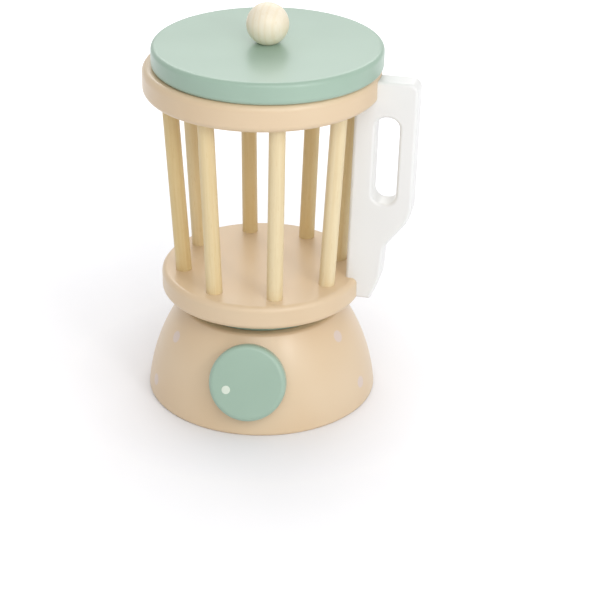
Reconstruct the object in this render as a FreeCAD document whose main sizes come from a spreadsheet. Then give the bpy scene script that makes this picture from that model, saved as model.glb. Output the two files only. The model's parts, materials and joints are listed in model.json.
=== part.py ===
import FreeCAD, Part
import math
import os

import Sketcher
from FreeCAD import Vector

# A wooden toy blender: a turned base with a dial, a turntable, a jar of leaning bars with a board
# handle, and a lift-off lid with a ball knob. Millimetres and degrees. The origin is the centre of
# the base's underside, +Z is up, the dial faces -Y and the handle is near +X.

DRIVING = [
    # turned base
    ("base_radius", 62.5, "outer radius of the base where it stands"),
    ("base_top_radius", 43.4, "outer radius of the base at its flat top"),
    ("base_height", 51.0, "height of the base"),
    ("base_side_arc", 100.5, "radius of the bulging side, seen in section"),
    ("base_top_round", 2.5, "rounding of the top edge"),
    ("base_foot_round", 1.5, "rounding of the bottom edge"),
    ("hollow_radius", 41.0, "radius of the bored hollow"),
    ("hollow_roof", 9.0, "wood left above the hollow"),
    # plate that closes the hollow from below
    ("plate_ledge", 9.0, "wood around the hollow that the bottom plate seats on"),
    ("plate_thickness", 4.0, "thickness of the bottom plate"),
    ("plate_gap", 0.25, "radial gap around the bottom plate"),
    ("plate_screw_count", 4, "screws in the bottom plate"),
    ("plate_screw_radius", 1.5, "shank radius of a plate screw"),
    ("plate_screw_head", 3.0, "head radius of a plate screw"),
    ("plate_screw_length", 16.0, "length of a plate screw"),
    # bolt that the turntable turns on
    ("bolt_radius", 2.5, "shank radius of the pivot bolt"),
    ("bolt_head_radius", 5.0, "head radius of the pivot bolt"),
    ("bolt_head_height", 3.0, "head height of the pivot bolt"),
    ("bolt_head_round", 1.0, "rounding of the bolt head"),
    ("bolt_tip", 2.0, "thread that shows below the nut"),
    ("bolt_tip_chamfer", 0.6, "chamfer of the bolt's end"),
    ("bolt_sink", 0.5, "how far the bolt head lies below the turntable's top"),
    ("washer_radius", 7.5, "outer radius of the pivot washers"),
    ("washer_thickness", 1.2, "thickness of the pivot washers"),
    ("nut_width", 8.0, "width across flats of the lock nut"),
    ("nut_height", 5.0, "height of the lock nut"),
    # turntable under the jar
    ("turntable_radius", 39.5, "radius of the turntable"),
    ("turntable_thickness", 8.0, "thickness of the turntable"),
    ("turntable_round", 1.0, "rounding of the turntable's edges"),
    ("recess_gap", 0.5, "radial gap around the upper washer"),
    ("peg_count", 2, "pegs that carry the jar round"),
    ("peg_circle", 28.0, "radius of the circle of pegs"),
    ("peg_radius", 4.0, "radius of a peg"),
    ("peg_socket", 5.0, "depth of a peg in the turntable"),
    ("peg_stand", 5.0, "height of a peg above the turntable"),
    ("peg_chamfer", 1.0, "chamfer of a peg's upper end"),
    ("peg_clearance", 0.25, "gap around and above a peg in the jar floor"),
    # jar
    ("jar_angle", -6.3, "how far the jar is turned from the square of the dial"),
    ("floor_radius", 54.0, "radius of the jar's floor disc"),
    ("floor_thickness", 13.0, "thickness of the floor disc"),
    ("floor_round", 3.0, "rounding of the floor disc's edges"),
    ("jar_height", 100.0, "clear height between floor and rim"),
    ("rim_radius", 62.0, "outer radius of the jar's rim"),
    ("rim_thickness", 14.5, "thickness of the rim"),
    ("rim_round", 3.5, "rounding of the rim's outer edges"),
    ("rim_width", 22.0, "wood between the rim's outside and its mouth"),
    ("mouth_round", 1.5, "rounding of the mouth's edges"),
    # bars between floor and rim
    ("bar_count", 8, "bars of the jar"),
    ("bar_radius", 4.25, "radius of a bar"),
    ("bar_foot_margin", 11.5, "from the edge of the floor disc to the middle of a bar"),
    ("bar_mouth_wall", 4.25, "wood between the mouth and a bar"),
    ("bar_floor_socket", 7.0, "depth of a bar in the floor"),
    ("bar_rim_socket", 8.0, "depth of a bar in the rim"),
    # handle board; its widths are measured outwards from the board's inner edge at its foot, and
    # its heights from the top of the floor disc
    ("handle_thickness", 13.0, "thickness of the handle board"),
    ("handle_round", 1.8, "rounding of the board's long edges"),
    ("handle_top_drop", 2.5, "how far the board ends below the rim's top"),
    ("handle_foot_rise", 1.5, "how far the board ends above the floor disc's underside"),
    ("handle_foot_lap", 6.9, "how far the board reaches in over the floor disc"),
    ("handle_head_lap", 11.4, "how far the board reaches in under the rim"),
    ("handle_foot_width", 13.7, "width of the board at its foot"),
    ("handle_heel_height", 1.0, "height of the heel between foot and neck"),
    ("handle_heel_swell", 2.5, "how far the heel stands outside the line from foot to neck"),
    ("handle_neck_width", 20.4, "width of the neck below the grip"),
    ("handle_neck_height", 19.7, "height of the neck below the grip"),
    ("handle_elbow_height", 37.5, "height where the grip ends"),
    ("handle_corner", 5.0, "rounding of the board's top corner"),
    ("handle_elbow_round", 20.0, "rounding at the end of the grip"),
    ("handle_neck_round", 9.0, "rounding at the neck"),
    ("handle_heel_round", 20.0, "rounding at the heel"),
    ("handle_toe_round", 1.5, "rounding at the foot"),
    ("grip_palm", 13.1, "from the board's inner edge at its foot to the finger hole"),
    ("grip_width", 12.6, "width of the finger hole"),
    ("grip_bar", 9.1, "wood outside the finger hole"),
    ("grip_bar_taper", 0.5, "how much of that wood is lost towards the elbow"),
    ("grip_lean", 1.1, "how far the finger hole leans out over its length"),
    ("grip_sill", 7.0, "wood between the elbow's height and the finger hole"),
    ("grip_lintel", 7.3, "wood between the finger hole and the rim's underside"),
    ("grip_corner", 5.8, "corner radius of the finger hole"),
    ("handle_dowel_radius", 3.0, "radius of the two dowels in the handle"),
    ("upper_dowel_inner", 12.0, "depth of the upper dowel in the rim"),
    ("upper_dowel_outer", 12.0, "depth of the upper dowel in the board"),
    ("lower_dowel_inner", 12.0, "depth of the lower dowel in the floor disc"),
    ("lower_dowel_outer", 5.0, "depth of the lower dowel in the board"),
    # lid
    ("lid_radius", 60.0, "radius of the lid"),
    ("lid_thickness", 11.5, "thickness of the lid"),
    ("lid_round", 2.5, "rounding of the lid's edges"),
    ("plug_thickness", 8.0, "thickness of the disc below the lid"),
    ("plug_clearance", 3.5, "radial gap between that disc and the mouth"),
    ("lid_rest_gap", 0.25, "gap left where the lid has slipped furthest"),
    ("lid_slip_angle", -17.5, "which way the lid has slipped, from the handle"),
    ("plug_chamfer", 1.0, "chamfer of that disc's lower edge"),
    ("knob_radius", 11.0, "radius of the ball knob"),
    ("knob_flat", 4.0, "radius of the flat that the ball stands on"),
    ("knob_screw_radius", 2.0, "shank radius of the knob screw"),
    ("knob_screw_head", 4.0, "head radius of the knob screw"),
    ("knob_screw_grip", 12.0, "depth of the knob screw in the ball"),
    # dial
    ("dial_radius", 20.3, "radius of the dial"),
    ("dial_thickness", 7.5, "thickness of the dial"),
    ("dial_round", 2.6, "rounding of the dial's front edge"),
    ("dial_back_round", 0.8, "rounding of the dial's back edge"),
    ("dial_height", 29.3, "height where the dial's axis leaves the base"),
    ("dial_gap", 0.4, "gap between the dial and the base"),
    ("axle_radius", 4.0, "radius of the dial's axle"),
    ("axle_socket", 4.0, "depth of the axle in the dial"),
    ("axle_play", 0.3, "end play of the axle"),
    ("dial_seat_depth", 10.0, "wood between the base's side and the inner seat"),
    ("dial_washer_radius", 8.0, "radius of the washer that keeps the axle in"),
    ("dial_washer_thickness", 1.5, "thickness of that washer"),
    ("dial_seat_gap", 1.0, "radial gap around that washer in its seat"),
    ("dial_screw_radius", 1.75, "shank radius of the axle screw"),
    ("dial_screw_head", 3.5, "head radius of the axle screw"),
    ("dial_screw_head_height", 2.2, "head height of the axle screw"),
    ("dial_screw_length", 9.0, "length of the axle screw below its head"),
    # fits
    ("running_fit", 0.1, "radial gap of a shaft that turns in a bore"),
    ("close_fit", 0.05, "radial gap of a glued or screwed piece in its hole"),
    ("drill_end", 0.3, "room left beyond the end of a glued or screwed piece"),
    ("cut_past", 1.0, "how far a cut runs past the face it starts or ends at"),
    ("screw_point", 2.0, "length of a screw's point, in shank radii"),
    ("screw_blunt", 0.25, "radius of a screw's tip, in shank radii"),
    ("round_share", 0.48, "most of a side that the rounding of one corner may take"),
]

doc = FreeCAD.newDocument("toy_blender")
sizes = doc.addObject("Spreadsheet::Sheet", "Sizes")
for row, (name, value, note) in enumerate(DRIVING, start=1):
    sizes.set(f"A{row}", name)
    sizes.set(f"B{row}", str(value))
    sizes.setAlias(f"B{row}", name)
    sizes.set(f"C{row}", note)
doc.recompute()

parts = []


# ---------------------------------------------------------------- expressions on the sheet

def at(expression):
    """The expression with every size read from the sheet."""
    words = sorted((name for name, value, note in DRIVING), key=len, reverse=True)
    text, out = expression, ""
    while text:
        word = next((w for w in words if text.startswith(w)), None)
        fresh = not (out and (out[-1].isalnum() or out[-1] in "_."))
        if word and fresh and not (text[len(word):][:1].isalnum() or text[len(word):][:1] == "_"):
            out, text = out + "Sizes." + word, text[len(word):]
        else:
            out, text = out + text[0], text[1:]
    return out


def number(expression):
    """What the expression comes to, as a plain number."""
    value = sizes.evalExpression(at(expression))
    return float(getattr(value, "Value", value))


def bind(thing, **properties):
    """Ties each property of the object to an expression on the sheet."""
    for name, expression in properties.items():
        thing.setExpression(name, at(expression))


def move(x="0", y="0", z="0"):
    return f"placement(vector({x}; {y}; {z}); rotationz(0))"


def turn_z(angle):
    return f"placement(vector(0; 0; 0); rotationz({angle}))"


def turn_y(angle):
    return f"placement(vector(0; 0; 0); rotationy({angle}))"


def turn_x(angle):
    return f"placement(vector(0; 0; 0); rotationx({angle}))"


# levels, from the floor up
TABLE_TOP = "(base_height + turntable_thickness)"
FLOOR_TOP = f"({TABLE_TOP} + floor_thickness)"
RIM_LOW = f"({FLOOR_TOP} + jar_height)"
RIM_TOP = f"({RIM_LOW} + rim_thickness)"
LID_TOP = f"({RIM_TOP} + lid_thickness)"
HOLLOW_TOP = "(base_height - hollow_roof)"

# the bulging side of the base is an arc between its foot and its top
SIDE_CHORD = "sqrt((base_radius - base_top_radius)^2 + base_height^2)"
SIDE_DEPTH = f"sqrt(base_side_arc^2 - ({SIDE_CHORD} / 2)^2)"
SIDE_CENTRE = (f"((base_radius + base_top_radius) / 2 - {SIDE_DEPTH} * base_height / {SIDE_CHORD})",
               f"(base_height / 2 - {SIDE_DEPTH} * (base_radius - base_top_radius) / {SIDE_CHORD})")
DIAL_RISE = f"(dial_height - {SIDE_CENTRE[1]})"
DIAL_FOOT = f"({SIDE_CENTRE[0]} + sqrt(base_side_arc^2 - {DIAL_RISE}^2))"
DIAL_TURN = f"acos({DIAL_RISE} / base_side_arc)"

# frames: the dial's own Z points out of the base's side, the jar's own X points to the handle,
# and the lid lies off the jar's middle, because its plug is loose in the mouth
DIAL = f"{move(y='-' + DIAL_FOOT, z='dial_height')} * {turn_x(DIAL_TURN)}"
JAR = turn_z("jar_angle")
LID = f"{JAR} * {turn_z('lid_slip_angle')} * {move(x='plug_clearance - lid_rest_gap')}"

# the bars stand on one circle at the floor and on a wider one round the mouth
MOUTH_RADIUS = "(rim_radius - rim_width)"
BAR_FOOT = "(floor_radius - bar_foot_margin)"
BAR_HEAD = f"({MOUTH_RADIUS} + bar_mouth_wall + bar_radius)"
BAR_LEAN = f"atan2({BAR_HEAD} - {BAR_FOOT}; jar_height)"
BAR_SPAN = f"sqrt(({BAR_HEAD} - {BAR_FOOT})^2 + jar_height^2)"


def bar_foot(index):
    """Frame at the foot of a bar, its own Z along the bar; bars stand either side of the handle."""
    around = turn_z(f"({index} + 0.5) * 360 / bar_count")
    return f"{around} * {move(x=BAR_FOOT, z=FLOOR_TOP)} * {turn_y(BAR_LEAN)}"


# ---------------------------------------------------------------- ways of making a piece

def new_body(label, frame=None):
    body = doc.addObject("PartDesign::Body", label)
    body.Label = label
    if frame:
        bind(body, Placement=frame)
    return body


def origin_part(body, role):
    return next(feature for feature in body.Origin.OriginFeatures if feature.Role == role)


def add_sketch(body, role, name):
    sketch = body.newObject("Sketcher::SketchObject", name)
    sketch.AttachmentSupport = [(origin_part(body, role), "")]
    sketch.MapMode = "FlatFace"
    return sketch


def tie_point(sketch, side, end, x, y):
    """Ties one end of a side to the point x, y; a zero puts it on that axis."""
    for kind, expression, axis in (("DistanceX", x, -2), ("DistanceY", y, -1)):
        if expression == "0":
            sketch.addConstraint(Sketcher.Constraint("PointOnObject", side, end, axis))
        else:
            rule = Sketcher.Constraint(kind, -1, 1, side, end, number(expression))
            index = sketch.addConstraint(rule)
            sketch.setExpression(f"Constraints[{index}]", at(expression))


def draw_outline(sketch, corners, bulge=None):
    """A closed outline through the corners. bulge is (corner, radius): the side that follows that
    corner is an arc of that radius, bulging away from the centre of the outline."""
    points = [Vector(number(x), number(y), 0) for x, y in corners]
    count = len(points)
    ends = []
    for k, (x, y) in enumerate(corners):
        first, last = points[k], points[(k + 1) % count]
        if bulge and bulge[0] == k:
            radius = number(bulge[1])
            chord = last - first
            inward = Vector(chord.y, -chord.x, 0).normalize()
            depth = math.sqrt(radius**2 - (chord.Length / 2)**2)
            centre = (first + last) * 0.5 + inward * depth
            angles = [math.atan2(p.y - centre.y, p.x - centre.x) for p in (last, first)]
            arc = Part.ArcOfCircle(Part.Circle(centre, Vector(0, 0, 1), radius), *angles)
            sketch.addGeometry(arc, False)
            ends.append((2, 1))
        else:
            sketch.addGeometry(Part.LineSegment(first, last), False)
            ends.append((1, 2))
    for k in range(count):
        following = (k + 1) % count
        sketch.addConstraint(Sketcher.Constraint("Coincident", k, ends[k][1],
                                                 following, ends[following][0]))
    for k, (x, y) in enumerate(corners):
        tie_point(sketch, k, ends[k][0], x, y)
    if bulge:
        index = sketch.addConstraint(Sketcher.Constraint("Radius", bulge[0], number(bulge[1])))
        sketch.setExpression(f"Constraints[{index}]", at(bulge[1]))


def side_length(start, end):
    return f"sqrt(({end[0]} - ({start[0]}))^2 + ({end[1]} - ({start[1]}))^2)"


def corner_round(size, before, corner, after):
    """The rounding of an outline's corner, held to the room that its two sides leave."""
    first, second = side_length(before, corner), side_length(corner, after)
    along = (f"(({corner[0]} - ({before[0]})) * ({after[0]} - ({corner[0]}))"
             f" + ({corner[1]} - ({before[1]})) * ({after[1]} - ({corner[1]})))")
    turn = f"acos({along} / {first} / {second})"
    return f"min({size}; round_share * min({first}; {second}) / tan({turn} / 2))"


def draw_board(sketch, corners, rounds):
    """A closed outline of straight sides, with a tangent arc at each corner that has a rounding.
    Such a corner stays as a construction point that both its sides run through."""
    count = len(corners)
    points = [Vector(number(x), number(y), 0) for x, y in corners]
    radii = [corner_round(size, corners[k - 1], corners[k], corners[(k + 1) % count]) if size else None
             for k, size in enumerate(rounds)]
    arrive, leave, centres = list(points), list(points), {}
    for k, radius in enumerate(radii):
        if radius:
            back = (points[k - 1] - points[k]).normalize()
            onward = (points[(k + 1) % count] - points[k]).normalize()
            half = back.getAngle(onward) / 2
            arrive[k] = points[k] + back * (number(radius) / math.tan(half))
            leave[k] = points[k] + onward * (number(radius) / math.tan(half))
            centres[k] = points[k] + (back + onward).normalize() * (number(radius) / math.sin(half))
    for k in range(count):
        sketch.addGeometry(Part.LineSegment(leave[k], arrive[(k + 1) % count]), False)
    for k, radius in enumerate(radii):
        side_before, side_after = (k - 1) % count, k
        if not radius:
            sketch.addConstraint(Sketcher.Constraint("Coincident", side_before, 2, side_after, 1))
            tie_point(sketch, side_after, 1, *corners[k])
            continue
        spokes = [arrive[k] - centres[k], leave[k] - centres[k]]
        left_turn = spokes[0].cross(spokes[1]).z > 0
        angles = [math.atan2(spoke.y, spoke.x) for spoke in (spokes if left_turn else spokes[::-1])]
        circle = Part.Circle(centres[k], Vector(0, 0, 1), number(radius))
        arc = sketch.addGeometry(Part.ArcOfCircle(circle, *angles), False)
        first, last = (1, 2) if left_turn else (2, 1)
        corner = sketch.addGeometry(Part.Point(points[k]), True)
        for rule in (("Tangent", side_before, 2, arc, first), ("Tangent", arc, last, side_after, 1),
                     ("PointOnObject", corner, 1, side_before),
                     ("PointOnObject", corner, 1, side_after)):
            sketch.addConstraint(Sketcher.Constraint(*rule))
        tie_point(sketch, corner, 1, *corners[k])
        index = sketch.addConstraint(Sketcher.Constraint("Radius", arc, number(radius)))
        sketch.setExpression(f"Constraints[{index}]", at(radius))


def revolve(body, corners, bulge=None):
    """Turns an outline of radius and height once round the body's Z."""
    sketch = add_sketch(body, "XZ_Plane", body.Label + "_section")
    draw_outline(sketch, corners, bulge)
    turned = body.newObject("PartDesign::Revolution", body.Label + "_turned")
    turned.Profile = sketch
    turned.ReferenceAxis = (sketch, ["V_Axis"])
    turned.Angle = 360
    body.Tip = turned
    doc.recompute()
    return turned


def edge_names(shape, wanted):
    """Names of the edges for which wanted(edge) is true."""
    found = [f"Edge{k}" for k, edge in enumerate(shape.Edges, start=1) if wanted(edge)]
    if not found:
        raise RuntimeError("no edge found to dress")
    return found


def circle_at(radius, height):
    """A test for the circle of that radius, at that height round the Z axis."""
    r, z = number(radius), number(height)

    def wanted(edge):
        curve = edge.Curve
        return (isinstance(curve, Part.Circle) and abs(curve.Radius - r) < 1e-4
                and math.hypot(curve.Center.x, curve.Center.y) < 1e-4
                and abs(curve.Center.z - z) < 1e-4)
    return wanted


def dress(body, kind, size, wanted):
    """A Fillet or Chamfer of that size on the wanted edges of the body so far."""
    base = body.Tip
    dressed = body.newObject("PartDesign::" + kind, f"{body.Label}_{kind.lower()}_{len(body.Group)}")
    dressed.Base = (base, edge_names(base.Shape, wanted))
    bind(dressed, **{"Radius" if kind == "Fillet" else "Size": size})
    body.Tip = dressed
    doc.recompute()


def round_rings(body, size, *rings):
    """Rounds the turned edges given as radius and height."""
    for radius, height in rings:
        dress(body, "Fillet", size, circle_at(radius, height))


def repeat_around(body, features, count):
    """Repeats cuts evenly round the body's Z."""
    pattern = body.newObject("PartDesign::PolarPattern", f"{body.Label}_pattern_{len(body.Group)}")
    pattern.Originals = features
    pattern.Axis = (origin_part(body, "Z_Axis"), [""])
    pattern.Angle = 360
    bind(pattern, Occurrences=count)
    body.Tip = pattern
    doc.recompute()


def drill(body, name, frame, radius, depth, cone_radius=None):
    """Cuts a cylinder along the frame's own Z, or a cone that ends at cone_radius."""
    kind = "SubtractiveCone" if cone_radius else "SubtractiveCylinder"
    cut = body.newObject("PartDesign::" + kind, f"{body.Label}_{name}")
    if cone_radius:
        bind(cut, Radius1=radius, Radius2=cone_radius)
    else:
        bind(cut, Radius=radius)
    bind(cut, Height=depth, Placement=frame)
    body.Tip = cut
    doc.recompute()
    return cut


def rod(label, radius, length, frame, bore=None):
    """A round bar along the frame's own Z, solid or with a bore right through."""
    body = new_body(label, frame)
    sketch = add_sketch(body, "XY_Plane", label + "_section")
    for k, size in enumerate([radius, bore] if bore else [radius]):
        sketch.addGeometry(Part.Circle(Vector(), Vector(0, 0, 1), number(size)), False)
        sketch.addConstraint(Sketcher.Constraint("Coincident", k, 3, -1, 1))
        index = sketch.addConstraint(Sketcher.Constraint("Radius", k, number(size)))
        sketch.setExpression(f"Constraints[{index}]", at(size))
    pad = body.newObject("PartDesign::Pad", label + "_length")
    pad.Profile = sketch
    bind(pad, Length=length)
    body.Tip = pad
    doc.recompute()
    return body


def screw(label, frame, radius, length, head_radius, head_height, countersunk):
    """A screw whose head's outer face is at the frame's origin and whose shank runs along its Z."""
    point = f"({length} - {radius} * screw_point)"
    if countersunk:
        head = [("0", "0"), (head_radius, "0"), (radius, head_height)]
    else:
        head = [("0", "0"), (head_radius, "0"), (head_radius, head_height), (radius, head_height)]
    body = new_body(label, frame)
    revolve(body, head + [(radius, point), (f"{radius} * screw_blunt", length), ("0", length)])
    return body


def group(label, members):
    """Separate solids that share one file."""
    together = doc.addObject("Part::Compound", label)
    together.Label = label
    together.Links = members
    doc.recompute()
    return together


def keep(thing):
    parts.append(thing)
    return thing


# ---------------------------------------------------------------- base

PLATE_RADIUS = "(hollow_radius + plate_ledge)"
PLATE_SCREW_SINK = "(plate_screw_head - plate_screw_radius)"
# the screws stand mid-ledge and half a step round, so that none is below the dial
PLATE_SCREW = f"{turn_z('180 / plate_screw_count')} * {move(x='hollow_radius + plate_ledge / 2')}"


def base_shell():
    """Turned from one block, bored hollow from below, with a step for the bottom plate."""
    body = new_body("base_shell")
    step = f"{PLATE_RADIUS} + plate_gap"
    revolve(body, [("0", "base_height"), ("base_top_radius", "base_height"), ("base_radius", "0"),
                   (step, "0"), (step, "plate_thickness"), ("hollow_radius", "plate_thickness"),
                   ("hollow_radius", HOLLOW_TOP), ("0", HOLLOW_TOP)], bulge=(1, "base_side_arc"))
    round_rings(body, "base_top_round", ("base_top_radius", "base_height"))
    round_rings(body, "base_foot_round", ("base_radius", "0"))
    drill(body, "bolt_hole", move(z=f"{HOLLOW_TOP} - cut_past"), "bolt_radius + close_fit",
          "hollow_roof + 2 * cut_past")
    pilot = drill(body, "plate_screw_hole", PLATE_SCREW, "plate_screw_radius + close_fit",
                  "plate_screw_length + drill_end")
    repeat_around(body, [pilot], "plate_screw_count")
    wall = "(base_radius - hollow_radius)"
    seat = f"{DIAL} * {move(z=f'-dial_seat_depth - {wall}')}"
    drill(body, "dial_seat", seat, "dial_washer_radius + dial_seat_gap", wall)
    bearing = f"{DIAL} * {move(z='-dial_seat_depth - cut_past')}"
    drill(body, "dial_bearing", bearing, "axle_radius + running_fit", "dial_seat_depth + 2 * cut_past")
    return keep(body)


def base_plate():
    body = new_body("base_plate")
    revolve(body, [("0", "0"), (PLATE_RADIUS, "0"), (PLATE_RADIUS, "plate_thickness"),
                   ("0", "plate_thickness")])
    hole = drill(body, "screw_hole", f"{PLATE_SCREW} * {move(z='-cut_past')}",
                 "plate_screw_radius + running_fit", "plate_thickness + 2 * cut_past")
    sink = drill(body, "screw_sink", PLATE_SCREW, "plate_screw_head + running_fit",
                 PLATE_SCREW_SINK, cone_radius="plate_screw_radius + running_fit")
    repeat_around(body, [hole, sink], "plate_screw_count")
    return keep(body)


def plate_screws():
    return keep(group("plate_screws", [
        screw(f"plate_screw_{k + 1}", f"{turn_z(f'{k} * 360 / plate_screw_count')} * {PLATE_SCREW}",
              "plate_screw_radius", "plate_screw_length", "plate_screw_head", PLATE_SCREW_SINK,
              countersunk=True)
        for k in range(int(number("plate_screw_count")))]))


# ---------------------------------------------------------------- turntable and its bolt

BOLT_TOP = f"({TABLE_TOP} - bolt_sink)"
UPPER_WASHER_TOP = f"({BOLT_TOP} - bolt_head_height)"
RECESS_FLOOR = f"({UPPER_WASHER_TOP} - washer_thickness - running_fit)"
NUT_TOP = f"({HOLLOW_TOP} - washer_thickness)"
BOLT_LENGTH = f"({BOLT_TOP} - {NUT_TOP} + nut_height + bolt_tip)"


def pivot_bolt():
    body = new_body("pivot_bolt", f"{move(z=BOLT_TOP)} * {turn_x('180')}")
    revolve(body, [("0", "0"), ("bolt_head_radius", "0"), ("bolt_head_radius", "bolt_head_height"),
                   ("bolt_radius", "bolt_head_height"), ("bolt_radius", BOLT_LENGTH),
                   ("0", BOLT_LENGTH)])
    dress(body, "Fillet", "bolt_head_round", circle_at("bolt_head_radius", "0"))
    dress(body, "Chamfer", "bolt_tip_chamfer", circle_at("bolt_radius", BOLT_LENGTH))
    return keep(body)


def pivot_washers():
    levels = {"upper": f"{UPPER_WASHER_TOP} - washer_thickness", "lower": NUT_TOP}
    return keep(group("pivot_washers", [
        rod(f"{name}_pivot_washer", "washer_radius", "washer_thickness", move(z=level),
            bore="bolt_radius + running_fit")
        for name, level in levels.items()]))


def pivot_nut():
    hexagon = doc.addObject("Part::Prism", "nut_hexagon")
    hexagon.Polygon = 6
    bind(hexagon, Circumradius="nut_width / 2 / cos(30)", Height="nut_height",
         Placement=move(z=f"{NUT_TOP} - nut_height"))
    thread = doc.addObject("Part::Cylinder", "nut_thread")
    bind(thread, Radius="bolt_radius + close_fit", Height="nut_height + 2 * cut_past",
         Placement=move(z=f"{NUT_TOP} - nut_height - cut_past"))
    nut = doc.addObject("Part::Cut", "pivot_nut")
    nut.Label = "pivot_nut"
    nut.Base, nut.Tool = hexagon, thread
    return keep(nut)


def turntable():
    """Disc that turns on the bolt and carries the jar round by its pegs."""
    body = new_body("turntable", JAR)
    revolve(body, [("0", "base_height"), ("turntable_radius", "base_height"),
                   ("turntable_radius", TABLE_TOP), ("0", TABLE_TOP)])
    round_rings(body, "turntable_round", ("turntable_radius", "base_height"),
                ("turntable_radius", TABLE_TOP))
    drill(body, "bolt_hole", move(z="base_height - cut_past"), "bolt_radius + running_fit",
          "turntable_thickness + 2 * cut_past")
    drill(body, "washer_recess", move(z=RECESS_FLOOR), "washer_radius + recess_gap",
          "turntable_thickness")
    socket = drill(body, "peg_socket", move(x="peg_circle", z=f"{TABLE_TOP} - peg_socket - drill_end"),
                   "peg_radius + close_fit", "turntable_thickness")
    repeat_around(body, [socket], "peg_count")
    return keep(body)


def locating_pegs():
    pegs = []
    for k in range(int(number("peg_count"))):
        frame = f"{JAR} * {turn_z(f'{k} * 360 / peg_count')} * " \
                f"{move(x='peg_circle', z=f'{TABLE_TOP} - peg_socket')}"
        peg = rod(f"locating_peg_{k + 1}", "peg_radius", "peg_socket + peg_stand", frame)
        dress(peg, "Chamfer", "peg_chamfer", circle_at("peg_radius", "peg_socket + peg_stand"))
        pegs.append(peg)
    return keep(group("locating_pegs", pegs))


# ---------------------------------------------------------------- jar

UPPER_DOWEL_Z = f"({RIM_LOW} + (rim_thickness - handle_top_drop) / 2)"
LOWER_DOWEL_Z = f"({TABLE_TOP} + floor_thickness / 2)"


def dowel_hole(body, name, z, start, length):
    """A hole along +X for one of the two dowels of the handle."""
    frame = f"{move(x=start, z=z)} * {turn_y('90')}"
    drill(body, name, frame, "handle_dowel_radius + close_fit", length)


def drill_bars(body, start, length):
    """The bars' leaning sockets, from a distance along each bar."""
    for index in range(int(number("bar_count"))):
        drill(body, f"bar_socket_{index + 1}", f"{bar_foot(index)} * {move(z=start)}",
              "bar_radius + close_fit", length)


def jar_floor():
    body = new_body("jar_floor", JAR)
    revolve(body, [("0", TABLE_TOP), ("floor_radius", TABLE_TOP), ("floor_radius", FLOOR_TOP),
                   ("0", FLOOR_TOP)])
    round_rings(body, "floor_round", ("floor_radius", TABLE_TOP), ("floor_radius", FLOOR_TOP))
    drill_bars(body, "-bar_floor_socket - drill_end", "bar_floor_socket + drill_end + cut_past")
    peg_hole = drill(body, "peg_hole", move(x="peg_circle", z=f"{TABLE_TOP} - cut_past"),
                     "peg_radius + peg_clearance", "cut_past + peg_stand + peg_clearance")
    repeat_around(body, [peg_hole], "peg_count")
    dowel_hole(body, "dowel_hole", LOWER_DOWEL_Z, "floor_radius - lower_dowel_inner - drill_end",
               "lower_dowel_inner + drill_end + cut_past")
    return keep(body)


def jar_rim():
    body = new_body("jar_rim", JAR)
    revolve(body, [(MOUTH_RADIUS, RIM_LOW), ("rim_radius", RIM_LOW), ("rim_radius", RIM_TOP),
                   (MOUTH_RADIUS, RIM_TOP)])
    round_rings(body, "rim_round", ("rim_radius", RIM_LOW), ("rim_radius", RIM_TOP))
    round_rings(body, "mouth_round", (MOUTH_RADIUS, RIM_LOW), (MOUTH_RADIUS, RIM_TOP))
    drill_bars(body, f"{BAR_SPAN} - cut_past", "cut_past + bar_rim_socket + drill_end")
    dowel_hole(body, "dowel_hole", UPPER_DOWEL_Z, "rim_radius - upper_dowel_inner - drill_end",
               "upper_dowel_inner + drill_end + cut_past")
    return keep(body)


def bar(index):
    frame = f"{JAR} * {bar_foot(index)} * {move(z='-bar_floor_socket')}"
    return keep(rod(f"bar_{index + 1}", "bar_radius",
                    f"bar_floor_socket + {BAR_SPAN} + bar_rim_socket", frame))


def on_board_face(edge):
    """A test for the edges that lie in the board's two flat faces."""
    half = number("handle_thickness / 2")
    return all(abs(abs(edge.valueAt(t).y) - half) < 1e-4
               for t in (edge.FirstParameter, (edge.FirstParameter + edge.LastParameter) / 2,
                         edge.LastParameter))


def board_step(body, name, radius, low, high, rounds):
    """Turned step that seats the board against the rim or the floor disc; rounds are those of its
    lower and upper outer corner, so that the board follows the rounded edge of that piece."""
    sketch = add_sketch(body, "XZ_Plane", f"{body.Label}_{name}_section")
    draw_board(sketch, [("0", low), (radius, low), (radius, high), ("0", high)],
               [None, *rounds, None])
    step = body.newObject("PartDesign::Groove", f"{body.Label}_{name}")
    step.Profile = sketch
    step.ReferenceAxis = (sketch, ["V_Axis"])
    step.Angle = 360
    body.Tip = step
    doc.recompute()


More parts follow.
